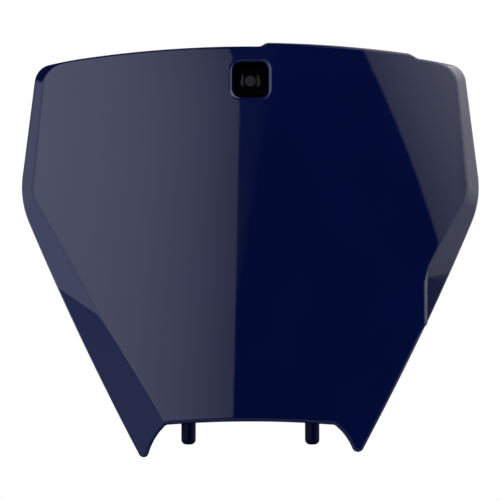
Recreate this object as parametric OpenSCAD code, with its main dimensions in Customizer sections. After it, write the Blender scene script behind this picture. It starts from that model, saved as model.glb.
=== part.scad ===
// Front number board of a motocross bike: one thin moulding in coloured polypropylene.
// The face looks along -Y and up is +Z. The origin is the mouth of the fixing boss, behind the recess.
// Outline and fold points are [x, z], seen from the front, with the recess at [0, 0].

/* [Face and wall] */
// Radius that the face is curved to, from side to side
face_radius = 450; // [400:10:700]
// Thickness of the moulding
wall = 2.4; // [1.8:0.1:3]
// Depth from the front of the face to the flat rim behind
rim_depth = 28; // [27:0.5:34]

/* [Outline] */
// Height of the top edge above the recess, at the middle
top_rise = 18.5; // [18:0.5:24]
// Radius of the top edge
top_radius = 810; // [600:10:1200]
// Half width at the shoulders, where the top edge would meet the sides
shoulder_x = 119.8; // [118:0.2:122]
// Radius of the shoulders
shoulder_radius = 10; // [6:0.5:12]
// Half width at the widest corners, before they are rounded
side_x = 129.2; // [128:0.2:131]
// Depth of the widest corners below the recess
side_drop = 64.6; // [62:0.2:67]
// Radius of the widest corners
side_radius = 52; // [40:1:60]
// Half width where the lower sides end and the rounded tips of the legs begin
leg_x = 61.9; // [60:0.1:63]
// How far that is below the middle of the bottom edge, on the left
leg_reach = 17.4; // [16:0.2:20]
// How much shorter the lower side is on the right
right_leg_lift = 2.4; // [1:0.1:3]
// How far the lower sides bulge past a straight line
side_bulge = 1.8; // [1:0.1:3]
// Radius of the left leg's tip
left_tip_radius = 2.9; // [2.2:0.1:3.4]
// Radius of the right leg's tip
right_tip_radius = 3.3; // [2.6:0.1:3.8]

/* [Opening between the legs] */
// Depth of the bottom edge below the recess, at the middle
bottom_drop = 189.4; // [186:0.2:192]
// Radius of the bottom edge, which arches upwards
bottom_radius = 620; // [450:10:900]
// Half width of the bottom edge, up to the leg arcs
arch_x = 46.5; // [45:0.5:48]
// Radius of the leg arcs
arc_radius = 33.5; // [32:0.5:35]
// Radius where the bottom edge runs into the leg arcs
arch_corner_radius = 3; // [1:0.5:4]

/* [Raised lip on the top edge] */
// How far the lip stands above the top edge
lip_rise = 2.1; // [1:0.1:3]
// Distance of the lip's inner end from the middle
lip_start = 9.8; // [7:0.2:14]
// Distance of the lip's outer end from the middle
lip_end = 87.4; // [70:0.2:90]
// Length of the lip's inner ramp
lip_inner_ramp = 5; // [3:0.5:6]
// Length of the lip's outer ramp
lip_outer_ramp = 6.8; // [4:0.2:9]

/* [Folded flanks] */
// Angle that the flanks are folded back by, above the widest corners
flank_angle = 50; // [47:0.5:53]
// Angle of the left flank below its widest corner
left_middle_angle = 45.5; // [44:0.5:48]
// Angle of the right flank below its widest corner
right_middle_angle = 48.5; // [47:0.5:50]
// Angle that the lowest facets are folded back by
lower_angle = 50.5; // [49:0.5:52]
// Width of the flank at the shoulder corner
shoulder_flank_w = 5.2; // [4:0.1:7]
// How far the shoulder fold drops below the shoulder corner
shoulder_fold_drop = 0.9; // [0.5:0.1:3]
// Length of the short fold that runs in from the shoulder to the top edge
shoulder_fold_run = 14; // [10:0.5:17]
// Width of the flank at the widest corner
side_flank_w = 7.6; // [6:0.1:9]
// How far the side fold turns above the widest corner
side_fold_lead = 1.5; // [0:0.1:4]
// Depth below the recess at which the left flank turns on to its lowest facet
left_turn_drop = 139.8; // [130:0.2:150]
// Width of the left flank at that turn
left_turn_w = 15.3; // [13:0.1:17]
// Depth below the recess at which the right flank turns on to its lowest facet
right_turn_drop = 111; // [106:0.2:116]
// Width of the right flank at that turn
right_turn_w = 12.2; // [11.4:0.1:13]
// Radius that blends the flanks at the shoulders
shoulder_blend = 16; // [6:0.5:18]
// Radius that blends the flanks at the widest corners
side_blend = 15; // [8:1:20]

/* [Flat wing on the right] */
// Distance of the wing's step from the middle
wing_step_x = 98.2; // [97:0.2:99.4]
// Depth below the recess where the wing takes over from the flank
wing_drop = 135; // [134:0.5:140]
// How far the wing's edge lies inside the flank's outline
wing_setback = 1; // [0.5:0.1:2]

/* [Recess] */
// Width and height of the recess between its walls
recess_mouth = 19.4; // [17:0.2:21]
// Corner radius of the recess at its mouth
recess_corner = 4.4; // [3.5:0.1:6]
// Radius of the rounded rim round the recess
recess_rim = 2.2; // [1.2:0.1:2.6]
// Depth of the recess
recess_depth = 10; // [8:0.5:12]
// Draft of the recess walls
recess_draft = 12; // [8:1:14]
// Thickness of the cup's walls and floor
cup_wall = 2.2; // [1.6:0.1:2.6]
// Diameter of the round pad on the floor
pad_d = 6.2; // [5:0.1:7]
// Height of the pad and of the two webs beside it
pad_height = 2.4; // [1.5:0.1:4]
// Gap between the pad and each web
web_gap = 0.5; // [0.4:0.1:0.8]
// Length of each web, up and down
web_length = 7.2; // [6:0.1:8]
// Width of each web at its top
web_top = 1.1; // [0.8:0.1:1.6]
// Width of each web at its foot
web_foot = 2.4; // [1.8:0.1:2.8]

/* [Fixing boss] */
// Outer diameter of the boss behind the recess
boss_d = 12; // [10.5:0.5:13]
// Diameter of the blind screw bore
bore_d = 5; // [4:0.1:6]
// Depth of the screw bore
bore_depth = 12; // [9:0.5:13]
// Thickness of the webs that brace the boss
brace_thickness = 2; // [1.4:0.1:2.6]
// How far the braces reach from the boss axis
brace_reach = 16.5; // [14:0.5:17]
// How far the braces stop short of the boss mouth
brace_setback = 4; // [2:0.5:6]

/* [Locating pegs] */
// Distance of each peg from the middle
peg_x = 34.1; // [30:0.1:36]
// Diameter of the pegs
peg_d = 8; // [6:0.2:9]
// How far the pegs reach below the bottom edge's middle
peg_reach = 12.4; // [9:0.2:15]
// Radius of the rounded ends
peg_round = 2.8; // [1:0.1:2.9]
// Depth of the pegs' axes behind the front of the face
peg_depth = 9.6; // [9:0.1:12]
// Width of the shelf that carries each peg
shelf_w = 15; // [13:0.5:18]
// Height of the ribs above the shelf
rib_h = 16; // [12:0.5:20]
// How far the shelf lies above the bottom edge's middle
shelf_lift = 1.6; // [1:0.1:3]
// How far the shelf reaches behind the peg
shelf_margin = 1.6; // [1:0.1:3]
// Thickness of the shelf and the ribs
rib_wall = 2.2; // [1.6:0.1:2.6]

/* [Hidden] */
$fn = 72;
// Steps in a round stretch of the outline, and in a blend between two flanks
arc_steps = 8;
blend_steps = 4;
// Segments of the cylinder that the face is part of
face_segments = 720;
// Size of a block that reaches past the board every way, and an overlap that joins or cuts cleanly
reach = 700;
bite = 1;
// Angle of a leg arc that its corner with the bottom edge takes up
corner_sweep = 8;
// Places along a lower side: after the widest corner, past the step to the wing, and beside the leg's tip
after_corner = 0.13;
past_step = 0.003;
beside_tip = 0.92;

function unit(v) = v / norm(v);
function angle_of(v) = atan2(v[1], v[0]);
function between(a, b, n) = [for (i = [0:n]) a + (b - a) * i / n];
function arc(centre, r, from, to) = [for (a = between(from, to, arc_steps)) centre + r * [cos(a), sin(a)]];

// The other half of a closed outline that starts and ends on the middle line
function mirrored(points) = [for (i = [len(points) - 2:-1:1]) [-points[i][0], points[i][1]]];

// Round stretch of radius r that replaces the corner b of the path a, b, c
function rounded(a, b, c, r) =
    let (u = unit(a - b), v = unit(c - b), half = acos(u * v) / 2,
         centre = b + unit(u + v) * r / sin(half),
         from = angle_of(b + u * r / tan(half) - centre),
         turn = angle_of(b + v * r / tan(half) - centre) - from)
    arc(centre, r, from, from + turn - 360 * round(turn / 360));

// Height of the plain top edge, of the bottom edge, and of the lip above the top edge
function top_z(x) = top_rise - top_radius + sqrt(top_radius ^ 2 - x ^ 2);
function bottom_z(x) = -bottom_drop - bottom_radius + sqrt(bottom_radius ^ 2 - x ^ 2);
function lip_z(x) = lip_rise * max(0, min(1,
    (x - lip_start + lip_inner_ramp) / lip_inner_ramp,
    (lip_end + lip_outer_ramp - x) / lip_outer_ramp));

// Lower side of the outline from the widest corner (t = 0) to the leg (t = 1), moved in by a setback
shoulder = [shoulder_x, top_z(shoulder_x)];
side_corner = [side_x, -side_drop];
leg_drop = bottom_drop + leg_reach;
leg_end = [leg_x, -leg_drop];
side_run = leg_end - side_corner;
side_out = unit([-side_run[1], side_run[0]]);
function lower_side(t, setback = 0) =
    side_corner + side_run * t + side_out * (4 * side_bulge * t * (1 - t) - setback);
function t_at(drop) = (drop - side_drop) / (leg_drop - side_drop);

// Centre of a leg's tip, and of the leg arc, which starts at the arch's corner and touches the tip
leg_run = unit(leg_end - lower_side(beside_tip));
leg_in = [leg_run[1], -leg_run[0]];
arch_corner = [arch_x, bottom_z(arch_x)];
function tip_centre(r, setback, lift) = lower_side(1 - lift / norm(side_run), setback) + leg_in * r;
function arc_centre(tip, r) =
    let (d = tip - arch_corner, u = unit(d),
         along = (d * d + arc_radius ^ 2 - (arc_radius + r) ^ 2) / (2 * norm(d)))
    arch_corner + u * along + [u[1], -u[0]] * sqrt(arc_radius ^ 2 - along ^ 2);

// Right-hand half of the outline, in three runs: top edge, side, and leg with half of the bottom edge
top_start = shoulder_x - 2 * shoulder_radius;
plain_top = [for (x = between(0, top_start, arc_steps)) [x, top_z(x)]];
lip_xs = concat([0, lip_start - lip_inner_ramp],
    between(lip_start, lip_end, arc_steps), [lip_end + lip_outer_ramp]);
lipped_top = [for (x = lip_xs) [x, top_z(x) + lip_z(x)]];
function side_path(setback = 0) = concat(
    rounded([top_start, top_z(top_start)], shoulder, side_corner, shoulder_radius),
    rounded(shoulder, side_corner, lower_side(after_corner), side_radius),
    [for (t = between(after_corner, t_at(wing_drop), 3)) lower_side(t)],
    [for (t = between(t_at(wing_drop) + past_step, beside_tip, 3)) lower_side(t, setback)]);
function leg_path(tip_radius, setback = 0, lift = 0) =
    let (tip = tip_centre(tip_radius, setback, lift), centre = arc_centre(tip, tip_radius),
         inwards = angle_of(centre - tip), stop = angle_of(arch_corner - centre) - corner_sweep,
         edge_x = arch_x - arc_radius / 2)
    concat(
        arc(tip, tip_radius, angle_of(-leg_in), inwards > 0 ? inwards - 360 : inwards),
        arc(centre, arc_radius, angle_of(tip - centre), stop),
        rounded(centre + arc_radius * [cos(stop), sin(stop)], arch_corner,
            [edge_x, bottom_z(edge_x)], arch_corner_radius),
        [for (x = between(edge_x, 0, 3)) [x, bottom_z(x)]]);

module outline()
    polygon(concat(
        lipped_top, side_path(wing_setback),
        leg_path(right_tip_radius, wing_setback, right_leg_lift),
        mirrored(concat(plain_top, side_path(), leg_path(left_tip_radius)))));

// The same shape with no lip and no opening between the legs
module blank() {
    end = leg_end + leg_run * arc_radius;
    half = concat(plain_top, side_path(), [end, [0, end[1]]]);
    polygon(concat(half, mirrored(half)));
}

// Extrudes a shape drawn in [x, z] from one depth to another
module slab(from, to)
    translate([0, to, 0]) rotate([90, 0, 0]) linear_extrude(to - from) children();

// Folds: each facet of a flank is a plane through two points on the front of the face
function face_y(x) = face_radius - sqrt(face_radius ^ 2 - x ^ 2);
function on_face(p) = [p[0], face_y(p[0]), p[1]];
function facet_normal(a, b, angle) =
    let (e = unit(b - a), rise = (face_y(b[0]) - face_y(a[0])) / norm(b - a),
         slope = e * rise + [-e[1], e[0]] * sqrt(tan(angle) ^ 2 - rise ^ 2))
    unit([-slope[0], 1, -slope[1]]);

shoulder_fold = shoulder - [shoulder_flank_w, shoulder_fold_drop];
fold_start_x = shoulder_fold[0] - shoulder_fold_run;
fold_start = [fold_start_x, top_z(fold_start_x)];
side_fold = side_corner - [side_flank_w, -side_fold_lead];
left_turn = lower_side(t_at(left_turn_drop)) - side_out * left_turn_w;
right_turn = lower_side(t_at(right_turn_drop)) - side_out * right_turn_w;

// Planes, each a point and a normal, that blend two facets round a cylinder touching both
function blend(p, first, last, r) =
    let (axis = p + r * (first + last) / (1 + first * last))
    [for (i = [1:blend_steps - 1])
        let (n = unit(first + (last - first) * i / blend_steps)) [axis - r * n, n]];

// Planes of the right-hand flank, from the shoulder down
function flank(turn, middle_angle) =
    let (top = facet_normal(fold_start, shoulder_fold, flank_angle),
         upper = facet_normal(shoulder_fold, side_fold, flank_angle),
         middle = facet_normal(side_fold, turn, middle_angle),
         lower = facet_normal(turn, turn + arch_corner - left_turn, lower_angle))
    concat(
        [[on_face(shoulder_fold), top]],
        blend(on_face(shoulder_fold), top, upper, shoulder_blend),
        [[on_face(side_fold), upper]],
        blend(on_face(side_fold), upper, middle, side_blend),
        [[on_face(turn), middle], [on_face(turn), lower]]);

// Everything behind the planes, moved in by an inset
module behind(planes, inset)
    intersection_for(plane = planes)
        translate(plane[0])
            rotate([0, acos(plane[1][2]), atan2(plane[1][1], plane[1][0])])
                translate([-reach / 2, -reach / 2, inset]) cube(reach);

// Everything behind the front of the board, moved in by an inset. On the right the face runs on past
// the fold as a flat wing, as far as the step.
module form(inset)
    intersection() {
        translate([0, face_radius, -reach / 2])
            cylinder(r = face_radius - inset, h = reach, $fn = face_segments);
        mirror([1, 0, 0]) behind(flank(left_turn, left_middle_angle), inset);
        union() {
            behind(flank(right_turn, right_middle_angle), inset);
            translate([wing_step_x - inset - reach, -bite, -reach / 2]) cube(reach);
            translate([0, -bite, -wing_drop - reach]) cube(reach);
        }
    }

// Extent of the hollow behind: it leaves a return wall round the flanks, and is open at the top between
// the shoulders, at the bottom and behind the wing
module hollow_extent() {
    intersection_for(shift = [[wall, 0], [-wall, 0], [0, -wall]]) translate(shift) blank();
    translate([-fold_start_x, 0]) square([2 * fold_start_x, reach]);
    translate([0, -wing_drop - reach]) square(reach);
}

module shell()
    difference() {
        intersection() {
            form(0);
            slab(-bite, rim_depth) outline();
        }
        intersection() {
            form(wall);
            slab(-bite, rim_depth + bite) hollow_extent();
        }
    }

// Rounded square solid along +Y, swept from a profile drawn in [distance from the corner's centre, depth]
module rounded_square(from, to) {
    c = recess_mouth / 2 - recess_corner;
    translate([-c, from, -c]) cube([2 * c, to - from, 2 * c]);
    for (a = [0:90:270])
        rotate([0, a, 0]) {
            translate([c, 0, c]) rotate([-90, 0, 0]) rotate_extrude() children();
            translate([0, 0, -c]) linear_extrude(2 * c) translate([c, 0]) children();
        }
}

// Distance of the drafted recess wall from the corner's centre, at a depth below the rounded rim
rim_centre = recess_corner + recess_rim;
function wall_r(depth) =
    rim_centre - recess_rim / cos(recess_draft) - (depth - recess_rim) * tan(recess_draft);

module recess_cut()
    rounded_square(-bite, recess_depth) {
        polygon([[0, -bite], [rim_centre, -bite], [rim_centre, 0],
            for (a = between(90, 180 - recess_draft, arc_steps))
                [rim_centre + recess_rim * cos(a), recess_rim - recess_rim * sin(a)],
            [wall_r(recess_depth), recess_depth], [0, recess_depth]]);
    }

module cup() {
    side = cup_wall / cos(recess_draft);
    floor_y = recess_depth + cup_wall;
    rounded_square(bite, floor_y)
        polygon([[0, bite], [wall_r(bite) + side, bite], [wall_r(floor_y) + side, floor_y], [0, floor_y]]);
}

// Pad and two webs that stand on the floor of the recess
module floor_details() {
    from = recess_depth - pad_height;
    to = recess_depth + bite;
    translate([0, from, 0]) rotate([-90, 0, 0]) cylinder(d = pad_d, h = to - from);
    for (side = [-1, 1])
        slab(from, to) scale([side, 1]) translate([pad_d / 2 + web_gap, -web_length / 2])
            polygon([[0, 0], [web_foot, web_length / 4], [web_top, web_length], [0, web_length]]);
}

module boss() {
    translate([0, recess_depth + bite, 0]) rotate([-90, 0, 0])
        cylinder(d = boss_d, h = rim_depth - recess_depth - bite);
    for (a = [0:90:270])
        rotate([0, a, 0]) translate([0, 0, -brace_thickness / 2]) linear_extrude(brace_thickness)
            polygon([[0, bite], [brace_reach, bite], [brace_reach, wall + bite],
                [boss_d / 2, rim_depth - brace_setback], [0, rim_depth - brace_setback]]);
}

module bore()
    translate([0, rim_depth - bore_depth, 0]) rotate([-90, 0, 0]) cylinder(d = bore_d, h = bore_depth + bite);

// Peg, its shelf and the two ribs that hold the shelf to the wall
module peg() {
    shelf_z = shelf_lift - bottom_drop;
    shelf_depth = peg_depth + peg_d / 2 + shelf_margin;
    length = peg_reach + shelf_lift + rib_wall / 2;
    front = face_y(peg_x) + wall / 2;
    translate([0, peg_depth, -bottom_drop - peg_reach]) rotate_extrude() intersection() {
        square([peg_d / 2, length]);
        union() {
            translate([0, peg_round]) square([peg_d / 2, length]);
            translate([peg_d / 2 - peg_round, peg_round]) circle(peg_round);
            square([peg_d / 2 - peg_round, peg_round]);
        }
    }
    translate([-shelf_w / 2, front, shelf_z]) cube([shelf_w, shelf_depth - front, rib_wall]);
    for (side = [-1, 1])
        translate([side * (shelf_w - rib_wall) / 2, 0, 0]) rotate([90, 0, 90])
            translate([0, 0, -rib_wall / 2]) linear_extrude(rib_wall)
                polygon([[front, shelf_z], [shelf_depth, shelf_z], [shelf_depth, shelf_z + rib_wall],
                    [front + wall, shelf_z + rib_h], [front, shelf_z + rib_h]]);
}

module number_board()
    color([0.03, 0.05, 0.2]) translate([0, -rim_depth, 0]) {
        difference() {
            union() {
                shell();
                cup();
                boss();
                for (side = [-1, 1]) translate([side * peg_x, 0, 0]) peg();
            }
            recess_cut();
            bore();
        }
        floor_details();
    }

number_board();
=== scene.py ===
"""Racing number board for the front of a motocross bike: one glossy navy moulding, shot head-on in a studio."""

import math

import bmesh
import bpy
import numpy as np
from mathutils import Matrix, Vector, geometry


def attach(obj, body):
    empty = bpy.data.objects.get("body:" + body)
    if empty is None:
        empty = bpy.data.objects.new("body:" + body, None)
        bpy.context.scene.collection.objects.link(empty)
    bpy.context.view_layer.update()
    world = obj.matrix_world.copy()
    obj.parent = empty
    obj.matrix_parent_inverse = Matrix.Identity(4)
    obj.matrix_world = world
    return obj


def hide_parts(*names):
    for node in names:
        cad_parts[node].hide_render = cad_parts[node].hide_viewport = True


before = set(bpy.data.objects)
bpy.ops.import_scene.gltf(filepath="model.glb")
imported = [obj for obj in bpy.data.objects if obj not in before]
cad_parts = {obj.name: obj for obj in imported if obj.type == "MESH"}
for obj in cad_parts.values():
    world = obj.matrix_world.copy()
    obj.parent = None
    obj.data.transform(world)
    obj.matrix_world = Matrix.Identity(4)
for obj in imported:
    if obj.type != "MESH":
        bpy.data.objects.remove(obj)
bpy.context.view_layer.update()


# Outline of the moulding, as the toolmaker would draw it: [x, z] in millimetres from the recess. The top
# edge is a long arc with a raised lip on the right, the sides run out to rounded corners and back in to two
# legs, and the bottom edge arches between them.
def unit(v):
    return v / np.linalg.norm(v)


def heading(v):
    return math.atan2(v[1], v[0])


def sweep(middle, radius, start, end):
    """Arc from one heading to another, the short way round, in steps of at most 0.9 mm."""
    turn = (end - start + math.pi) % math.tau - math.pi
    steps = max(5, math.ceil(abs(turn) * radius / 0.9))
    angles = start + turn * np.linspace(0, 1, steps + 1)
    return middle + radius * np.stack([np.cos(angles), np.sin(angles)], 1)


def round_corner(a, b, c, radius):
    """Arc that rounds the corner b between the lines to a and to c."""
    u, v = unit(a - b), unit(c - b)
    half = math.acos(u @ v) / 2
    middle = b + unit(u + v) * radius / math.sin(half)
    reach = radius / math.tan(half)
    return sweep(middle, radius, heading(b + u * reach - middle), heading(b + v * reach - middle))


top_rise, top_radius = 18.5, 810
lip_rise, lip_start, lip_inner_ramp = 2.1, 4.8, 5.0
lip_end, lip_outer_ramp = 94.2, 6.8
bottom_drop, bottom_radius = 189.4, 620


def top_edge(x, lip=0.0):
    inner = np.clip((x - lip_start) / lip_inner_ramp, 0, 1)
    outer = np.clip((lip_end - x) / lip_outer_ramp, 0, 1)
    rise = inner * inner * (3 - 2 * inner) * outer * outer * (3 - 2 * outer)
    return top_rise - top_radius + np.sqrt(top_radius**2 - x * x) + lip * rise


def bottom_edge(x):
    return -bottom_drop - bottom_radius + np.sqrt(bottom_radius**2 - x * x)


shoulder_x, shoulder_radius = 119.8, 10.0
side_radius, side_bulge = 52.0, 1.8
shoulder = np.array([shoulder_x, top_edge(shoulder_x)])
side_corner = np.array([129.2, -64.6])
leg_end = np.array([61.9, -206.8])
side_run = leg_end - side_corner
side_out = unit(np.array([-side_run[1], side_run[0]]))


def lower_side(share, setback=0.0):
    """Points of the lower side, by the share of its length that lies above them."""
    share = np.atleast_1d(share)[:, None]
    return side_corner + side_run * share + side_out * (4 * side_bulge * share * (1 - share) - setback)


def side_at(drop):
    """Share of the lower side above a height, given as a drop below the recess."""
    return (drop + side_corner[1]) / (side_corner[1] - leg_end[1])


# shares of the lower side where the corner's rounding has ended, and where the leg's tip begins
after_corner, before_tip = 0.13, 0.92
leg_run = unit(leg_end - lower_side(before_tip)[0])
arch_x, arch_straight_x, arch_corner_radius, arc_radius = 46.5, 29.75, 3.0, 33.5
arch_corner = np.array([arch_x, bottom_edge(arch_x)])
top_end_x = 99.8
step_drop = 135.0


def half_outline(lip, setback, tip_radius, lift):
    """Right-hand half: top edge, shoulder, side, leg and half of the arch. Below the step the side may be set
    back, a little at first and fully at the tip, and the tip may be lifted."""
    xs = np.linspace(0, top_end_x, 84)
    top = np.stack([xs, top_edge(xs, lip)], 1)
    setbacks = setback * np.linspace(0.45, 1, 34)[:, None]
    tip = lower_side(1 - lift / np.linalg.norm(side_run), setback)[0]
    tip = tip + tip_radius * np.array([leg_run[1], -leg_run[0]])
    # the leg's arc starts at the arch's corner and touches the tip's circle from outside
    across = tip - arch_corner
    along = (across @ across + arc_radius**2 - (arc_radius + tip_radius) ** 2) / (2 * np.linalg.norm(across))
    u = unit(across)
    middle = arch_corner + u * along + np.array([u[1], -u[0]]) * math.sqrt(arc_radius**2 - along**2)
    stop = heading(arch_corner - middle) - math.radians(8)
    leave = middle + arc_radius * np.array([math.cos(stop), math.sin(stop)])
    xs = np.linspace(arch_straight_x, 0, 26)
    bottom = np.stack([xs, bottom_edge(xs)], 1)
    return np.concatenate(
        [
            top,
            round_corner(top[-1], shoulder, side_corner, shoulder_radius),
            round_corner(shoulder, side_corner, lower_side(after_corner)[0], side_radius),
            lower_side(np.linspace(after_corner, side_at(step_drop), 30)),
            lower_side(np.linspace(side_at(step_drop) + 0.003, before_tip, 34), setbacks),
            sweep(tip, tip_radius, heading(-np.array([leg_run[1], -leg_run[0]])), heading(middle - tip)),
            sweep(middle, arc_radius, heading(tip - middle), stop),
            round_corner(leave, arch_corner, bottom[0], arch_corner_radius),
            bottom,
        ]
    )


def mirrored(path):
    return path[::-1] * np.array([-1, 1])


def filled_in(path, step=1.3, closed=True):
    """The path with points added so that none lies more than a step from the next."""
    out = []
    for a, b in zip(path, np.roll(path, -1, 0) if closed else path[1:]):
        count = max(1, math.ceil(np.linalg.norm(b - a) / step))
        out.extend(a + (b - a) * i / count for i in range(count))
    return np.array(out if closed else out + [path[-1]])


right_half = half_outline(lip_rise, setback=1.0, tip_radius=3.3, lift=2.4)
left_half = half_outline(0.0, setback=0.0, tip_radius=2.9, lift=0.0)
outline = filled_in(np.concatenate([right_half, mirrored(left_half)[1:-1]]))


# Front and back of the shell. The face is curved from side to side only, and each flank is folded back from
# it along straight lines, so its facets are planes through two points of the face. The wall is 2.4 mm thick
# all over, and behind each flank a short return wall ends in a flat rim.
face_radius, wall, rim_depth = 450, 2.4, 28


def curve(x, inset=0.0):
    """Depth of the face behind its middle line."""
    return face_radius - np.sqrt((face_radius - inset) ** 2 - x * x)


def facet(a, b, angle):
    """Slopes and height of the plane that folds back from the face along the line from a to b."""
    e = unit(b - a)
    rise = (curve(b[0]) - curve(a[0])) / np.linalg.norm(b - a)
    slope = e * rise + np.array([-e[1], e[0]]) * math.sqrt(math.tan(math.radians(angle)) ** 2 - rise**2)
    return slope[0], slope[1], curve(b[0]) - slope @ b


flank_angle, lower_angle = 50, 50.5
left_turn_drop, left_turn_width = 139.8, 15.3


def flank(turn_drop, turn_width, middle_angle):
    """The four facets of a flank, from the top edge down, given where the middle one turns into the lower."""
    shoulder_fold = shoulder - np.array([5.2, 0.9])
    start_x = shoulder_fold[0] - 14
    side_fold = side_corner - np.array([7.6, -1.5])
    turn = lower_side(side_at(turn_drop))[0] - side_out * turn_width
    left_turn = lower_side(side_at(left_turn_drop))[0] - side_out * left_turn_width
    return (
        facet(np.array([start_x, top_edge(start_x)]), shoulder_fold, flank_angle),
        facet(shoulder_fold, side_fold, flank_angle),
        facet(side_fold, turn, middle_angle),
        facet(turn, turn + arch_corner - left_turn, lower_angle),
    )


flanks = {-1: flank(left_turn_drop, left_turn_width, 45.5), 1: flank(111.0, 12.2, 48.5)}
shoulder_blend, middle_blend, lower_blend, face_blend = 10.3, 2.6, 0.5, 0.9


def soft_max(a, b, blend):
    over = np.maximum(blend - np.abs(a - b), 0)
    return np.maximum(a, b) + over * over / (4 * blend)


def flank_depth(x, z, side, inset=0.0):
    top, upper, middle, lower = (
        sx * np.abs(x) + sz * z + c + inset * math.sqrt(1 + sx * sx + sz * sz) for sx, sz, c in flanks[side]
    )
    return soft_max(soft_max(soft_max(top, upper, shoulder_blend), middle, middle_blend), lower, lower_blend)


# the wing's edge, and the step just past it, which runs between two lines of vertices
wing_x, step_x = 98.2, 98.21


def front_depth(x, z, inset=0.0):
    """Depth of the front behind the face's middle line, before its edges are rounded. On the right the face
    runs on as a flat wing up to the step."""
    face = curve(x, inset)
    left = soft_max(face, flank_depth(x, z, -1, inset), face_blend)
    right = soft_max(face, flank_depth(x, z, 1, inset), face_blend)
    wing = (x < step_x - inset) | ((z < -step_drop) & (inset > 0))
    return np.where(x < 0, left, np.where(wing, face, right))


def inside(points, path):
    """Whether each point lies within a closed path."""
    found = np.zeros(len(points), bool)
    x, z = points[:, 0], points[:, 1]
    for a, b in zip(path, np.roll(path, -1, 0)):
        if a[1] != b[1]:
            crosses = (a[1] > z) != (b[1] > z)
            found ^= crosses & (x < a[0] + (z - a[1]) * (b[0] - a[0]) / (b[1] - a[1]))
    return found


def nearest_edge(points, path, closed=True):
    """Distance from each point to a path, and the direction to the nearest place on it."""
    a = path if closed else path[:-1]
    b = np.roll(path, -1, 0) if closed else path[1:]
    ab = b - a
    batch = 1500
    distance, towards = np.empty(len(points)), np.empty((len(points), 2))
    for start in range(0, len(points), batch):
        p = points[start : start + batch]
        t = np.clip(((p[:, None] - a) * ab).sum(2) / (ab * ab).sum(1), 0, 1)
        gap = a + ab * t[..., None] - p[:, None]
        squared = (gap * gap).sum(2)
        best = squared.argmin(1)
        rows = np.arange(len(p))
        distance[start : start + batch] = np.sqrt(squared[rows, best])
        towards[start : start + batch] = gap[rows, best]
    return distance, towards / np.maximum(distance, 1e-9)[:, None]


def outward(path):
    """Outward direction at each point of a clockwise closed path."""
    along = np.roll(path, -1, 0) - np.roll(path, 1, 0)
    out = np.stack([-along[:, 1], along[:, 0]], 1)
    return out / np.linalg.norm(out, axis=1)[:, None]


def tilt(depth, x, z):
    """Slopes of a depth function."""
    h = 0.004
    return (depth(x + h, z) - depth(x - h, z)) / (2 * h), (depth(x, z + h) - depth(x, z - h)) / (2 * h)


def rolled(distance, radius):
    """How far a rounded edge has dropped, and how far it has turned, at a distance inside the edge."""
    short = np.clip(radius - distance, 0, radius)
    return radius - np.sqrt(radius**2 - short**2), short / radius


widest_rounding, side_rounding, leg_rounding, top_rounding = 2.3, 0.6, 1.3, 1.2
wing_rounding, wing_rounding_share = 1.9, 0.55
lowest_front = 27.5


def front_surface(points, edge):
    """Depth and normal of the front at each point, with the edge rounded over."""
    x, z = points[:, 0], points[:, 1]
    gx, gz = tilt(front_depth, x, z)
    steep = np.sqrt(1 + gx * gx + gz * gz)
    distance, towards = edge
    # the edge is rounded most along the bottom and round the arch, less along the top, and least down the sides
    roundings = [widest_rounding, widest_rounding, side_rounding, top_rounding]
    softness = np.interp(towards[:, 1], [-1, -0.4, 0.2, 1], roundings)
    at_side = np.clip(towards[:, 0] * np.sign(x) * 3 - 0.6, 0, 1)
    right_leg = np.interp(z, [-144, -136], [leg_rounding, side_rounding])
    down_side = np.where(x < 0, side_rounding, right_leg)
    drop, turned = rolled(distance, softness + (down_side - softness) * at_side)
    # the wing's own edge stands above the flank behind it, and is rounded too
    step = np.maximum(flank_depth(np.full_like(z, wing_x), z, 1) - curve(wing_x), 0)
    at_step = (x < step_x) & (z > -137) & (x > 90)
    rounding = np.minimum(wing_rounding_share * step, wing_rounding)
    wing_dropped, step_turned = rolled(wing_x - x, np.maximum(rounding, 1e-6))
    further = at_step & (step_turned > turned)
    drop = np.where(further, wing_dropped, drop)
    turned = np.where(further, step_turned, turned)
    towards = np.where(further[:, None], [1.0, 0.0], towards)
    depth = np.minimum(front_depth(x, z) + drop * steep, lowest_front)
    normal = np.stack([gx, -np.ones_like(x), gz], 1) / steep[:, None]
    out = np.stack([towards[:, 0], np.zeros_like(x), towards[:, 1]], 1)
    normal = normal * np.sqrt(1 - turned**2)[:, None] + out * turned[:, None]
    return depth, normal


top_end = np.array([top_end_x, top_edge(top_end_x)])
half_side = filled_in(
    np.concatenate(
        [
            top_end[None],
            round_corner(top_end, shoulder, side_corner, shoulder_radius),
            round_corner(shoulder, side_corner, lower_side(after_corner)[0], side_radius),
            lower_side(np.linspace(after_corner, 1.0, 60)),
            (leg_end + leg_run * 20)[None],
        ]
    ),
    closed=False,
)
rim_width, rim_start_x, back_rounding = 2.3, 100.6, 0.35


def back_depth(x, z):
    return front_depth(x, z, wall)


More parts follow.
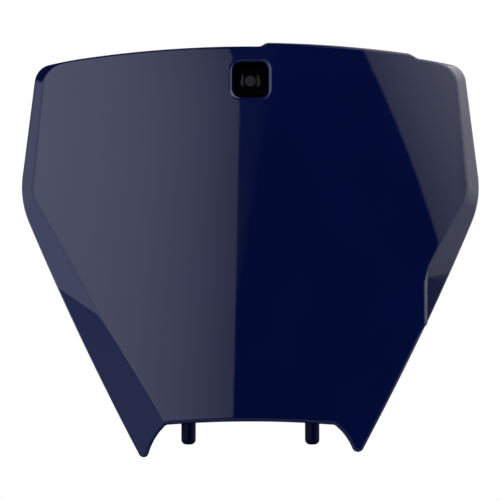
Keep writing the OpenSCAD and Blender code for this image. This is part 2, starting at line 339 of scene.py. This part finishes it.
def back_surface(points, edge):
    """Depth and normal of the back at each point, with the flat rim of the return walls."""
    x, z = points[:, 0], points[:, 1]
    gx, gz = tilt(back_depth, x, z)
    side_gap, _ = nearest_edge(np.stack([np.abs(x), z], 1), half_side, closed=False)
    rim = (side_gap < rim_width) & (np.abs(x) > rim_start_x * (z > -20)) & ((x < 0) | (z > -step_drop))
    gx, gz = np.where(rim, 0, gx), np.where(rim, 0, gz)
    steep = np.sqrt(1 + gx * gx + gz * gz)
    distance, towards = edge
    drop, turned = rolled(distance, back_rounding)
    depth = np.where(rim, float(rim_depth), np.minimum(back_depth(x, z), rim_depth - 0.2)) - drop * steep
    normal = np.stack([-gx, np.ones_like(x), -gz], 1) / steep[:, None]
    out = np.stack([towards[:, 0], np.zeros_like(x), towards[:, 1]], 1)
    return depth, normal * np.sqrt(1 - turned**2)[:, None] + out * turned[:, None]


def beside(path):
    """Direction to the left of an open path, at each of its points."""
    out = np.stack([-np.gradient(path[:, 1]), np.gradient(path[:, 0])], 1)
    return out / np.linalg.norm(out, axis=1)[:, None]


def doubled(path):
    """Two lines close together, one on each side of an open path, for a wall that stands on it."""
    return [path + beside(path) * 0.02, path - beside(path) * 0.02]


def straight(a, b):
    return filled_in(np.array([a, b], float), closed=False)


inner_side = half_side - beside(half_side) * rim_width
inner_side = inner_side[inner_side[:, 1] > -214]
inner_step_x = 95.81
front_walls = doubled(straight((98.22, -103), (98.22, -136.5)))
back_walls = doubled(straight((inner_step_x, -100), (inner_step_x, -136)))
back_walls += doubled(straight((92, -step_drop), (101, -step_drop)))
for side in (-1, 1):
    back_walls += doubled(inner_side * np.array([side, 1]))
    back_walls += doubled(straight((side * rim_start_x, 7), (side * rim_start_x, 14)))


def with_crossings(path, lines):
    """A closed path with a point added wherever one of the lines crosses it."""
    a, ab = path, np.roll(path, -1, 0) - path
    added = []
    for line in lines:
        for p, q in zip(line[:-1], line[1:]):
            d = q - p
            det = ab[:, 0] * d[1] - ab[:, 1] * d[0]
            det = np.where(np.abs(det) < 1e-12, 1e-12, det)
            ap = p - a
            t = (ap[:, 0] * d[1] - ap[:, 1] * d[0]) / det
            s = (ap[:, 0] * ab[:, 1] - ap[:, 1] * ab[:, 0]) / det
            for i in np.flatnonzero((t > 0) & (t < 1) & (s >= 0) & (s <= 1)):
                added.append((i + t[i], a[i] + ab[i] * t[i]))
    places = [(i, p) for i, p in enumerate(path)] + added
    return np.array([p for _, p in sorted(places, key=lambda item: item[0])])


outline = with_crossings(outline, front_walls + back_walls)
outline = outline[np.linalg.norm(outline - np.roll(outline, 1, 0), axis=1) > 1e-4]


# Recess for the fixing, moulded into the face: a rounded square with a rolled rim and drafted walls. Behind the
# face the same form stands out as a cup, one wall larger all round.
corner_x = 5.3


def square_ring(radius):
    """Points of a rounded square whose corners are arcs of this radius about fixed centres, anticlockwise."""
    ring, radial = [], []
    centres = ((corner_x, corner_x), (-corner_x, corner_x), (-corner_x, -corner_x), (corner_x, -corner_x))
    for k, (cx, cz) in enumerate(centres):
        for i in range(9):
            angle = math.radians(90 * k + 90 * i / 8)
            ring.append((cx + radius * math.cos(angle), cz + radius * math.sin(angle)))
            radial.append((math.cos(angle), math.sin(angle)))
        nx, nz = radial[-1]
        for i in range(1, 9):
            ring.append((ring[-1][0] - nz * 2 * corner_x / 9, ring[-1][1] + nx * 2 * corner_x / 9))
            radial.append((nx, nz))
    return np.array(ring), np.array(radial)


draft = math.radians(12)
mouth_radius, rim_round, recess_depth = 6.6, 2.2, 10.0
floor_round, cup_round, cup_end_round = 0.8, 0.6, 0.5


def wall_at(y, off):
    """Distance of the drafted wall from its corners' centres at a depth, moved out by an offset."""
    return mouth_radius + off / math.cos(draft) - (y - rim_round) * math.tan(draft)


def turned(r, y, radius, start, end, steps, side):
    """A round stretch of a profile drawn in [radius, depth], each point with the direction that it faces."""
    angles = np.linspace(start, end, steps)
    return [(r + radius * c, y + radius * s, side * c, side * s) for c, s in zip(np.cos(angles), np.sin(angles))]


back_turn, quarter = draft - math.pi, math.pi / 2
floor_y = recess_depth - floor_round
rim_profile = turned(mouth_radius, rim_round, rim_round, -quarter, back_turn, 12, 1)
floor_profile = turned(wall_at(floor_y, -rim_round - floor_round), floor_y, floor_round, draft, quarter, 7, -1)
recess_profile = rim_profile + floor_profile
cup_profile = turned(wall_at(3.0, cup_round), 3.0, cup_round, -quarter, back_turn, 6, -1)
cup_profile += turned(wall_at(11.7, -cup_end_round), 11.7, cup_end_round, draft, quarter, 6, 1)
mouth = square_ring(mouth_radius)[0]
cup_mouth = square_ring(cup_profile[0][0])[0]


# The shell in one piece, as it leaves the mould: front, back and the narrow band round the edge between them,
# with the recess let into the front and its cup standing on the back.
class Skin:
    """A mesh that grows sheet by sheet, with a normal for every vertex."""

    def __init__(self):
        self.places, self.normals, self.faces = [], [], []

    def add(self, places, normals):
        start = len(self.places)
        self.places.extend(map(tuple, places))
        self.normals.extend(map(tuple, normals))
        return list(range(start, len(self.places)))

    def sheet(self, surface, walls, facing, hole):
        """Fills the outline with triangles, finest where the surface turns, and returns the vertices round
        its edge and round the hole."""
        points, edges, start = [outline, hole] + walls, [], 0
        for i, path in enumerate(points):
            edges += [(start + j, start + (j + 1) % len(path)) for j in range(len(path) - (i > 1))]
            start += len(path)
        for turn in (22.5, 45, 67.5, 90):
            d = widest_rounding * (1 - math.cos(math.radians(turn)))
            row = outline - outward(outline) * d
            points.append(row[nearest_edge(row, outline)[0] > d * 0.97])
            if walls is front_walls:
                points.append(np.array([[wing_x - d, z] for z in np.arange(-133, -106, 1.2)]))
        # coarse on the flat face, finer on the flanks and finest along the folds
        coarse, fine, finest = 5.0, 1.6, 0.8
        for step in (coarse, fine, finest):
            xs, zs = np.meshgrid(np.arange(-128, 129, step), np.arange(-209, 21, step))
            grid = np.stack([xs.ravel(), zs.ravel()], 1)
            grid = grid[inside(grid, outline)]
            x, z = grid[:, 0], grid[:, 1]
            rise = np.where(x < 0, flank_depth(x, z, -1), flank_depth(x, z, 1)) - curve(x)
            grid = grid[{coarse: rise < -2.0, fine: rise > 1.6, finest: np.abs(rise) < 2.0}[step]]
            grid = grid[nearest_edge(grid, outline)[0] > widest_rounding + step / 2]
            for path in [hole] + walls:
                grid = grid[nearest_edge(grid, path, closed=False)[0] > 0.45 * step]
            points.append(grid)
        flat = [Vector(p) for p in np.concatenate(points)]
        result = geometry.delaunay_2d_cdt(flat, edges, [], 1, 1e-5)
        places, faces, origin = np.array([tuple(p) for p in result[0]]), result[2], result[3]
        keep = ~inside(np.array([places[list(f)].mean(0) for f in faces]), hole)
        gap, towards = nearest_edge(places, outline)
        border = {}
        out = outward(outline)
        for v, sources in enumerate(origin):
            for source in sources:
                border[source] = v
                if source < len(outline):
                    gap[v], towards[v] = 0.0, out[source]
        depth, normal = surface(places, (gap, towards))
        faces = [face for face, kept in zip(faces, keep) if kept]
        needed = sorted({v for face in faces for v in face})
        added = self.add(np.stack([places[:, 0], depth, places[:, 1]], 1)[needed], normal[needed])
        used = dict(zip(needed, added))
        for face in faces:
            a, b, c = (places[i] for i in face)
            anticlockwise = (b[0] - a[0]) * (c[1] - a[1]) > (b[1] - a[1]) * (c[0] - a[0])
            self.faces.append(tuple(used[i] for i in (face if anticlockwise == (facing < 0) else face[::-1])))
        rows = [used[border[i]] for i in range(len(outline) + len(hole))]
        return rows[: len(outline)], rows[len(outline) :]

    def band(self, first, second):
        """Joins two closed rows of vertices, the second lying behind the first when it runs clockwise."""
        for i in range(len(first)):
            j = (i + 1) % len(first)
            self.faces.append((first[i], first[j], second[j], second[i]))

    def build(self, name):
        """Makes the object, in metres and in the part's own frame, shaded by the given normals. A corner whose
        normal leans far from its face, as at the edge round the back, is shaded flat."""
        mesh = bpy.data.meshes.new(name)
        places = (np.array(self.places) - [0, rim_depth, 0]) / 1000
        mesh.from_pydata([tuple(p) for p in places], [], self.faces)
        mesh.update()
        normals = np.array(self.normals)
        normals /= np.linalg.norm(normals, axis=1)[:, None]
        corners = []
        for face in mesh.polygons:
            flat = np.array(face.normal)
            for v in face.vertices:
                corners.append(tuple(normals[v] if normals[v] @ flat > 0.6 else flat))
        mesh.shade_smooth()
        mesh.normals_split_custom_set(corners)
        piece = bpy.data.objects.new(name, mesh)
        bpy.context.collection.objects.link(piece)
        return piece


def well(skin, row, profile, facing):
    """Rings of a rounded square that lead in from a hole, closed by a flat end. The first few follow the curve
    of the face."""
    for r, y, nr, ny in profile:
        ring, radial = square_ring(r)
        bent = curve(ring[:, 0]) * max(0.0, 1 - y / 3.6)
        ring = skin.add(np.stack([ring[:, 0], y + bent, ring[:, 1]], 1), [(nr * a, ny, nr * b) for a, b in radial])
        skin.band(*((row, ring) if facing < 0 else (ring, row)))
        row = ring
    skin.faces.append(tuple(row if facing < 0 else row[::-1]))


shell = Skin()
front_edge, mouth_edge = shell.sheet(front_surface, front_walls, -1, mouth)
well(shell, mouth_edge, recess_profile[1:], -1)
satin_from = len(shell.faces)
recess_from = satin_from - len(mouth) * len(floor_profile) - 1
back_edge, cup_edge = shell.sheet(back_surface, back_walls, 1, cup_mouth)
well(shell, cup_edge, cup_profile[1:], 1)
satin_to = len(shell.faces)
shell.band(front_edge, back_edge)
board = shell.build("board_shell")


# The plastic: polypropylene, coloured navy right through. The front takes its gloss from the polished half of
# the mould, the back is satin, and the recess and the pegs are duller. The recess's walls and floor are painted
# near black and the pegs a darker navy: that darkness is painted shade, not the plastic's colour.
class Sock:
    """A node socket that can be used in sums; every operator adds a Math node."""

    def __init__(self, tree, socket):
        self.tree, self.socket = tree, socket

    def node(self, kind, settings=(), **links):
        """Adds a node, makes its settings first, and then links or fills its sockets, by name or as _0, _1."""
        new = self.tree.nodes.new(kind)
        for name, value in dict(settings).items():
            setattr(new, name, value)
        for label, value in links.items():
            socket = new.inputs[int(label[1:]) if label[1:].isdigit() else label.replace("_", " ")]
            if isinstance(value, Sock):
                self.tree.links.new(value.socket, socket)
            else:
                socket.default_value = value
        return Sock(self.tree, new.outputs[0])

    def maths(self, operation, *others):
        links = {f"_{i}": value for i, value in enumerate(others, 1)}
        return self.node("ShaderNodeMath", {"operation": operation}, _0=self, **links)

    def __add__(self, other):
        return self.maths("ADD", other)

    def __sub__(self, other):
        return self.maths("SUBTRACT", other)

    def __rsub__(self, other):
        return self.maths("MULTIPLY_ADD", -1.0, other)

    def __mul__(self, other):
        return self.maths("MULTIPLY", other)

    def __truediv__(self, other):
        return self.maths("DIVIDE", other)

    __radd__, __rmul__ = __add__, __mul__

    def clamped(self):
        return self.maths("MAXIMUM", 0.0).maths("MINIMUM", 1.0)

    def eased(self, start, end):
        """0 before the start, 1 past the end, and smooth between."""
        settings = {"interpolation_type": "SMOOTHSTEP"}
        return self.node("ShaderNodeMapRange", settings, Value=self, From_Min=start, From_Max=end)

    def blended(self, first, second):
        """Mix of two colours, by this value."""
        return self.node("ShaderNodeMix", {"data_type": "RGBA"}, _0=self, _6=first, _7=second).output(2)

    def ramp(self, start, end, stops):
        """Colour that follows this value from the start to the end."""
        value = (self - start) / (end - start)
        made = value.node("ShaderNodeValToRGB", Fac=value)
        steps = made.socket.node.color_ramp.elements
        steps.remove(steps[1])
        steps[0].position = stops[0][0]
        for place, colour in stops:
            step = steps[0] if place == stops[0][0] else steps.new(place)
            step.color = (*colour, 1)
        return made

    def output(self, label):
        return Sock(self.tree, self.socket.node.outputs[label])


navy = ((0.0008, 0.0030, 0.029, 1), (0.0011, 0.0036, 0.033, 1))


def plastic(name, rough, wave, shine=0.5, colours=navy):
    """Moulded plastic: a cloudy colour between two near ones, smears in its gloss, and the slight waves that
    the plastic's flow leaves."""
    made = bpy.data.materials.new(name)
    made.use_nodes = True
    tree = made.node_tree
    shader = tree.nodes["Principled BSDF"]
    place = Sock(tree, tree.nodes.new("ShaderNodeTexCoord").outputs["Object"])
    cloudy = place.node("ShaderNodeTexNoise", Vector=place, Scale=14.0, Detail=3.0, Roughness=0.5)
    tone = cloudy.eased(0.3, 0.7).blended(*colours)
    tree.links.new(tone.socket, shader.inputs["Base Color"])
    smear = place.node("ShaderNodeTexNoise", Vector=place, Scale=55.0, Detail=4.0, Roughness=0.6)
    tree.links.new((smear * (rough * 0.35) + rough * 0.82).socket, shader.inputs["Roughness"])
    flow = place.node("ShaderNodeTexNoise", Vector=place, Scale=240.0, Detail=2.0, Roughness=0.5)
    bump = place.node("ShaderNodeBump", Strength=wave, Distance=0.00002, Height=flow)
    tree.links.new(bump.socket, shader.inputs["Normal"])
    shader.inputs["IOR"].default_value = 1.5
    shader.inputs["Specular IOR Level"].default_value = shine
    return made


# painted shade: near black for the drafted walls and floor deep in the recess
recess_painted_shade = ((0.0002, 0.0002, 0.0005, 1), (0.0003, 0.0003, 0.0008, 1))
glossy = plastic("plastic_gloss_front", 0.02, 0.1)
satin = plastic("plastic_satin_back", 0.38, 1.0)
shade = plastic("plastic_recess_painted_shade", 0.6, 0.4, 0.02, recess_painted_shade)
for finish in (glossy, satin, shade):
    board.data.materials.append(finish)
for face in board.data.polygons[satin_from:satin_to]:
    face.material_index = 1
# the recess's walls and floor take the painted shade
for face in board.data.polygons[recess_from:satin_from]:
    face.material_index = 2


def moulded_on(piece):
    """Every piece here is part of the one moulding, so it stands for the same solid."""
    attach(piece, "root")
    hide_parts("number_board")


moulded_on(board)


# Details on the recess floor, moulded with it: a round pad in the middle and a tapered web on either side of
# it. Their dark grey is painted shade, a little lighter than the painted shade of the recess round them.
def lathe(mesh, profile, steps=48):
    """Adds a closed solid of revolution about Z, from a profile of [radius, height]."""
    rings = []
    for r, z in profile:
        turn = np.linspace(0, math.tau, steps, endpoint=False)
        rings.append([mesh.verts.new((r * math.cos(a), r * math.sin(a), z)) for a in turn])
    for below, above in zip(rings, rings[1:]):
        for i in range(steps):
            mesh.faces.new((below[i], below[(i + 1) % steps], above[(i + 1) % steps], above[i]))
    mesh.faces.new(rings[0][::-1])
    mesh.faces.new(rings[-1])
    return [v for ring in rings for v in ring]


def prism(mesh, points, thickness, edge):
    """Adds a plate about the plane y = 0, from points in [x, z], with its edges slightly rounded."""
    front = [mesh.verts.new((x, -thickness / 2, z)) for x, z in points]
    back = [mesh.verts.new((x, thickness / 2, z)) for x, z in points]
    faces = [mesh.faces.new(front), mesh.faces.new(back[::-1])]
    for i in range(len(points)):
        j = (i + 1) % len(points)
        faces.append(mesh.faces.new((front[j], front[i], back[i], back[j])))
    bmesh.ops.recalc_face_normals(mesh, faces=faces)
    edges = list({e for f in faces for e in f.edges})
    before = set(mesh.verts) - set(front) - set(back)
    bmesh.ops.bevel(mesh, geom=edges, offset=edge, segments=3, profile=0.5, affect="EDGES")
    return [v for v in mesh.verts if v not in before]


def placed(mesh, verts, matrix):
    bmesh.ops.transform(mesh, matrix=matrix, verts=verts)


def finished(mesh, name, finish):
    """Makes the object from millimetres measured from the face, smooth but for its sharp edges."""
    bmesh.ops.recalc_face_normals(mesh, faces=mesh.faces)
    to_frame = Matrix.Scale(0.001, 4) @ Matrix.Translation((0, -rim_depth, 0))
    bmesh.ops.transform(mesh, matrix=to_frame, verts=mesh.verts)
    data = bpy.data.meshes.new(name)
    mesh.to_mesh(data)
    mesh.free()
    data.shade_smooth()
    data.set_sharp_from_angle(angle=math.radians(32))
    data.materials.append(finish)
    piece = bpy.data.objects.new(name, data)
    bpy.context.collection.objects.link(piece)
    return piece


def soft_end(radius, height, edge):
    """The end of a turned profile: a rounded edge of the given radius."""
    turn = np.linspace(0, math.pi / 2, 7)
    return [(radius - edge + edge * math.cos(a), height - edge + edge * math.sin(a)) for a in turn]


# painted shade: dark grey for the pad and webs, a little lighter than the recess
key_painted_shade_grey = ((0.006, 0.006, 0.0065, 1), (0.009, 0.009, 0.0095, 1))
grey = plastic("plastic_key_painted_shade", 0.5, 0.6, 0.2, key_painted_shade_grey)
pad_radius, pad_rise, web_x, web_y, web_depth = 3.1, 2.4, 3.6, 9.3, 3.4
web_shape = [(0, -3.6), (2.4, -1.8), (1.1, 3.6), (0, 3.6)]
key = bmesh.new()
towards_front = Matrix.Rotation(math.radians(90), 4, "X")
pad = lathe(key, [(pad_radius, -1)] + soft_end(pad_radius, pad_rise, 0.35))
placed(key, pad, Matrix.Translation((0, recess_depth, 0)) @ towards_front)
for side in (-1, 1):
    web = prism(key, web_shape, web_depth, 0.25)
    placed(key, web, Matrix.Translation((side * web_x, web_y, 0)) @ Matrix.Diagonal((side, 1, 1, 1)))
moulded_on(finished(key, "recess_pad_and_webs", grey))


# Boss behind the recess, bored blind for the fixing screw, with four braces standing on the wall round it.
# All of it is moulded with the board.
boss_radius, bore_radius, bore_end, bore_mouth = 6, 2.5, 16, 2.9
towards_back = Matrix.Rotation(-math.pi / 2, 4, "X")
barrel = bmesh.new()
bore = [(bore_mouth, rim_depth), (bore_radius, rim_depth - 0.4), (bore_radius, bore_end + 0.3), (2.2, bore_end)]
boss = lathe(barrel, [(boss_radius, 11)] + soft_end(boss_radius, rim_depth, 0.5) + bore, 64)
placed(barrel, boss, towards_back)
moulded_on(finished(barrel, "screw_boss", satin))


def repeated(piece, name, count, spacing, turn):
    """Copies a piece along a row, and round the Y axis, with a tree that has a named input for each size."""
    tree = bpy.data.node_groups.new(name, "GeometryNodeTree")
    face = tree.interface
    face.new_socket("Geometry", in_out="INPUT", socket_type="NodeSocketGeometry")
    sizes = {
        "Count": ("NodeSocketInt", count),
        "Spacing": ("NodeSocketVector", spacing),
        "Turn": ("NodeSocketFloat", turn),
        "Finish": ("NodeSocketMaterial", piece.data.materials[0]),
    }
    known = {label: face.new_socket(label, in_out="INPUT", socket_type=kind) for label, (kind, _) in sizes.items()}
    face.new_socket("Geometry", in_out="OUTPUT", socket_type="NodeSocketGeometry")

    def node(kind, **links):
        new = tree.nodes.new(kind)
        for label, value in links.items():
            socket = new.inputs[label.replace("_", " ")]
            if isinstance(value, bpy.types.NodeSocket):
                tree.links.new(value, socket)
            else:
                socket.default_value = value
        return new

    given = tree.nodes.new("NodeGroupInput").outputs
    row = node("GeometryNodeMeshLine", Count=given["Count"], Offset=given["Spacing"])
    middle = node("ShaderNodeVectorMath", Vector=given["Spacing"])
    middle.operation = "SCALE"
    middle.inputs["Scale"].default_value = -(count - 1) / 2
    line = node("GeometryNodeSetPosition", Geometry=row.outputs[0], Offset=middle.outputs[0])
    angle = tree.nodes.new("ShaderNodeMath")
    angle.operation = "MULTIPLY"
    tree.links.new(node("GeometryNodeInputIndex").outputs[0], angle.inputs[0])
    tree.links.new(given["Turn"], angle.inputs[1])
    turned_by = node("ShaderNodeCombineXYZ", Y=angle.outputs[0])
    copies = node(
        "GeometryNodeInstanceOnPoints",
        Points=line.outputs[0],
        Instance=given["Geometry"],
        Rotation=turned_by.outputs[0],
    )
    real = node("GeometryNodeRealizeInstances", Geometry=copies.outputs[0])
    coated = node("GeometryNodeSetMaterial", Geometry=real.outputs[0], Material=given["Finish"])
    tree.links.new(coated.outputs[0], tree.nodes.new("NodeGroupOutput").inputs[0])

    modifier = piece.modifiers.new(name, "NODES")
    modifier.node_group = tree
    for label, (_, value) in sizes.items():
        modifier[known[label].identifier] = value
    bpy.context.view_layer.update()
    plain = bpy.data.meshes.new_from_object(piece.evaluated_get(bpy.context.evaluated_depsgraph_get()))
    piece.modifiers.remove(modifier)
    piece.data = plain
    return piece


brace_shape = [(11, 1.3), (16.5, 1.3), (16.5, 3.4), (boss_radius, 24), (4.5, 24), (4.5, 11.1), (8.9, 11.1)]
brace_thickness, soft_edge = 2, 0.3
fin = bmesh.new()
placed(fin, prism(fin, brace_shape, brace_thickness, soft_edge), towards_back)
braces = finished(fin, "boss_braces", satin)
moulded_on(repeated(braces, "braces_round_boss", 4, (0, 0, 0), math.pi / 2))


# Two pegs that stand below the bottom edge and drop into grommets on the bike. Each hangs from a shelf behind
# the wall, which two triangular ribs hold up, all moulded with the board.
peg_x, peg_radius, peg_round, peg_y = 34.1, 4, 2.8, 9.6
peg_tip_z, shelf_top_z, shelf_z, rib_top_z = -199, -185.6, -187.8, -171.8
shelf_width, shelf_end, rib_thickness, rib_x = 15, 15.2, 2.2, 6.4
across_board = Matrix.Rotation(math.pi / 2, 4, "Z")
hanger = bmesh.new()
tip_turn = np.linspace(0, math.pi / 2, 9)
tip = [(1.2 + peg_round * math.sin(a), peg_tip_z - peg_round * math.cos(a)) for a in tip_turn]
placed(hanger, lathe(hanger, tip + [(peg_radius, -186.7)]), Matrix.Translation((0, peg_y, 0)))
front = float(curve(peg_x)) + wall / 2
below = [(front, shelf_z), (shelf_end, shelf_z), (shelf_end, shelf_top_z)]
placed(hanger, prism(hanger, below + [(front, shelf_top_z)], shelf_width, soft_edge), across_board)
for side in (-1, 1):
    rib = prism(hanger, below + [(front + wall, rib_top_z), (front, rib_top_z)], rib_thickness, soft_edge)
    placed(hanger, rib, Matrix.Translation((side * rib_x, 0, 0)) @ across_board)
# painted shade: the pegs take a darker copy of the board's navy
pegs_painted_shade_navy = ((0.0003, 0.0009, 0.011, 1), (0.0004, 0.0011, 0.013, 1))
pegs = finished(hanger, "locating_pegs", plastic("plastic_pegs_painted_shade", 0.16, 0.6, 0.045, pegs_painted_shade_navy))
moulded_on(repeated(pegs, "pegs_in_a_row", 2, (2 * peg_x / 1000, 0, 0), 0.0))


# Studio: a pale floor under the board, and round it a closed dark tent with a lit panel on
# either side. Only gloss sees the tent, so the camera sees the plain white world behind the board.
def surface(name, rows):
    """Open surface through rows of points."""
    sheet = bmesh.new()
    grid = [[sheet.verts.new(point) for point in row] for row in rows]
    for low, high in zip(grid, grid[1:]):
        for i in range(len(low) - 1):
            sheet.faces.new((low[i], low[i + 1], high[i + 1], high[i]))
    data = bpy.data.meshes.new(name)
    sheet.to_mesh(data)
    sheet.free()
    made = bpy.data.objects.new(name, data)
    bpy.context.collection.objects.link(made)
    return made


reach, floor_z = 4, -0.3
floor = surface("studio_floor", [[(x, reach, floor_z), (x, -reach, floor_z)] for x in (-reach, reach)])
pale = bpy.data.materials.new("floor_paint")
pale.use_nodes = True
paint = pale.node_tree.nodes["Principled BSDF"].inputs
paint["Base Color"].default_value = (0.8, 0.8, 0.8, 1)
paint["Roughness"].default_value = 0.8
floor.data.materials.append(pale)

tent_radius, tent_foot, tent_top, closed = 1.6, -1.7, 2.7, 0.001
turns = np.radians(np.arange(-180, 181, 3))
hoops = [(tent_radius, tent_foot), (tent_radius, 0.0), (tent_radius, tent_top)]
hoops = [(closed, tent_foot)] + hoops + [(closed, tent_top)]
tent = surface("studio_tent", [[(r * math.sin(a), -r * math.cos(a), z) for a in turns] for r, z in hoops])
for piece in (floor, tent):
    piece.visible_glossy = piece is tent
for ray in ("camera", "diffuse", "shadow", "transmission", "volume_scatter"):
    setattr(tent, "visible_" + ray, False)


# Light on the tent's cloth, by azimuth in degrees from straight ahead of the board and by height z in metres.
# The board's gloss shows two lit panels with sharp edges, and its flanks show what hangs at either side.
cloth = bpy.data.materials.new("tent_cloth")
cloth.use_nodes = True
tree = cloth.node_tree
tree.nodes.clear()
place = Sock(tree, tree.nodes.new("ShaderNodeTexCoord").outputs["Object"])
split = place.node("ShaderNodeSeparateXYZ", Vector=place)
x, y, z = (split.output(i) for i in range(3))
azimuth = x.maths("ARCTAN2", 0 - y) * (180 / math.pi)
dusk, dark, behind = (0.28, 0.3, 0.4, 1), (0.02, 0.02, 0.02, 1), (0.03, 0.03, 0.04, 1)
dim = z.eased(-0.3, 0.3).blended(dusk, dark)

# left panel: its near edge leans, and bends away at the top; cooler light at its far side
lean_z, lean, bend = 0.185, 3.45, 520
corner = (z - lean_z).maths("MAXIMUM", 0.0).maths("MINIMUM", 0.12)
edge = azimuth + 1.9 - (z - lean_z) * lean + corner * corner * bend
height = (z - azimuth * 0.008).eased(-0.35, -0.25) * (z * 0.45 + 0.94).clamped()
left_panel_width = 34.0
left_panel_tones = [
    (0.0, (1.78, 1.94, 2.4)),
    (0.25, (1.74, 1.78, 2.18)),
    (0.5, (1.5, 1.55, 1.85)),
    (0.72, (1.2, 1.21, 1.48)),
    (0.84, (0.98, 0.98, 1.18)),
    (1.0, (0.62, 0.62, 0.66)),
]
left_side_tones = [
    (0.05, (0.31, 0.37, 0.64)),
    (0.157, (0.265, 0.315, 0.6)),
    (0.163, (1.0, 1.08, 1.6)),
    (0.3, (1.02, 1.1, 1.6)),
    (0.5, (1.05, 1.12, 1.55)),
    (0.6, (0.9, 0.95, 1.32)),
    (0.66, (0.85, 0.9, 1.28)),
]
panel = (edge + left_panel_width).ramp(0.0, left_panel_width, left_panel_tones)
side = z.ramp(-1.0, 1.0, left_side_tones)
left = (0 - azimuth).eased(45.0, 85.0).blended(height.blended(dim, panel), side)
left = (z - azimuth * 0.0105).eased(1.37, 1.47).blended(left, dim)

# right panel: cut off along a slanted, slightly bowed edge, and growing brighter round to the side
slant = azimuth + z * 42.55 + z * z * 82.7 - 35.17
panel = slant.eased(-0.3, 0.3) * (slant * 0.068 + 0.6).maths("MINIMUM", 2.3) * (z * 0.9 + 0.85).clamped()
fold = z.eased(0.06, 0.12) * (1 - z.eased(0.32, 0.4)) * azimuth.eased(35.5, 39.0) * (1 - azimuth.eased(60.0, 88.0))
panel = panel * (1 - fold * 0.35)
tint = azimuth.eased(38.0, 52.0).blended((1.0, 1.0, 1.03, 1), (0.94, 1.0, 1.25, 1))
panel = tint.node("ShaderNodeVectorMath", {"operation": "SCALE"}, _0=tint, Scale=panel)
right_side_tones = [
    (0.091, (0.15, 0.15, 0.12)),
    (0.097, (0.7, 0.7, 0.64)),
    (0.114, (0.72, 0.73, 0.7)),
    (0.14, (0.9, 0.89, 1.0)),
    (0.2, (1.3, 1.32, 1.35)),
    (0.343, (1.65, 1.65, 1.7)),
    (0.36, (1.88, 1.86, 1.88)),
    (0.371, (2.28, 2.24, 2.28)),
    (0.514, (3.8, 3.8, 3.9)),
    (0.714, (5.6, 5.6, 5.7)),
]
side = z.ramp(-1.0, 2.5, right_side_tones)
above = (z - azimuth * 0.035).eased(0.05, 0.15) * (1 - azimuth.eased(24.0, 30.0))
right = azimuth.eased(55.0, 92.0).blended(above.blended(panel, dim), side)

# both halves together, dusky near the ground, and dark behind the board and under the roof
lit = edge.eased(-0.25, 0.25).blended(left, right)
low = z.eased(-1.3, -0.8).blended(dusk, lit)
roof = z.eased(2.66, 2.69) * (1 - azimuth.eased(24.0, 40.0))
hidden = azimuth.maths("ABSOLUTE").eased(128.0, 140.0).maths("MAXIMUM", roof)
glow = place.node("ShaderNodeEmission", Color=hidden.blended(low, behind))
tree.links.new(glow.socket, tree.nodes.new("ShaderNodeOutputMaterial").inputs["Surface"])
tent.data.materials.append(cloth)


# Plain light: a white world a little weaker than the camera sees it, a soft lamp before the board and one
# behind it, and the camera just below the board's middle, 1.9 m away.
world = bpy.data.worlds.new("studio")
world.use_nodes = True
tree = world.node_tree
ray = Sock(tree, tree.nodes.new("ShaderNodeLightPath").outputs["Is Camera Ray"])
seen = ray + ray.output("Is Glossy Ray") + ray.output("Is Transmission Ray")
level = seen.clamped() * 0.1 + 0.9
tree.links.new(level.socket, tree.nodes["Background"].inputs["Strength"])
tree.nodes["Background"].inputs["Color"].default_value = (1, 1, 1, 1)
bpy.context.scene.world = world

for label, place in (("front", Vector((0.0, -2.2, 0.7))), ("back", Vector((0.0, 2.2, 0.7)))):
    soft = bpy.data.lights.new("soft_lamp_" + label, "AREA")
    soft.size = 1.8
    soft.energy = 17
    lamp = bpy.data.objects.new(soft.name, soft)
    lamp.location = place
    lamp.rotation_euler = (-place).to_track_quat("-Z", "Y").to_euler()
    lamp.visible_camera = lamp.visible_glossy = False
    bpy.context.collection.objects.link(lamp)

camera = bpy.data.objects.new("camera", bpy.data.cameras.new("camera"))
bpy.context.collection.objects.link(camera)
aim = Vector((-0.0002, -0.028, -0.09495))
distance, rise = 1.9, math.radians(-5)
camera.location = aim + distance * Vector((0, -math.cos(rise), math.sin(rise)))
camera.rotation_euler = (aim - camera.location).to_track_quat("-Z", "Y").to_euler()
camera.data.lens = 248.1
camera.data.sensor_width = 36
camera.data.clip_start = 0.05
bpy.context.scene.camera = camera
bpy.context.scene.view_settings.view_transform = "Standard"
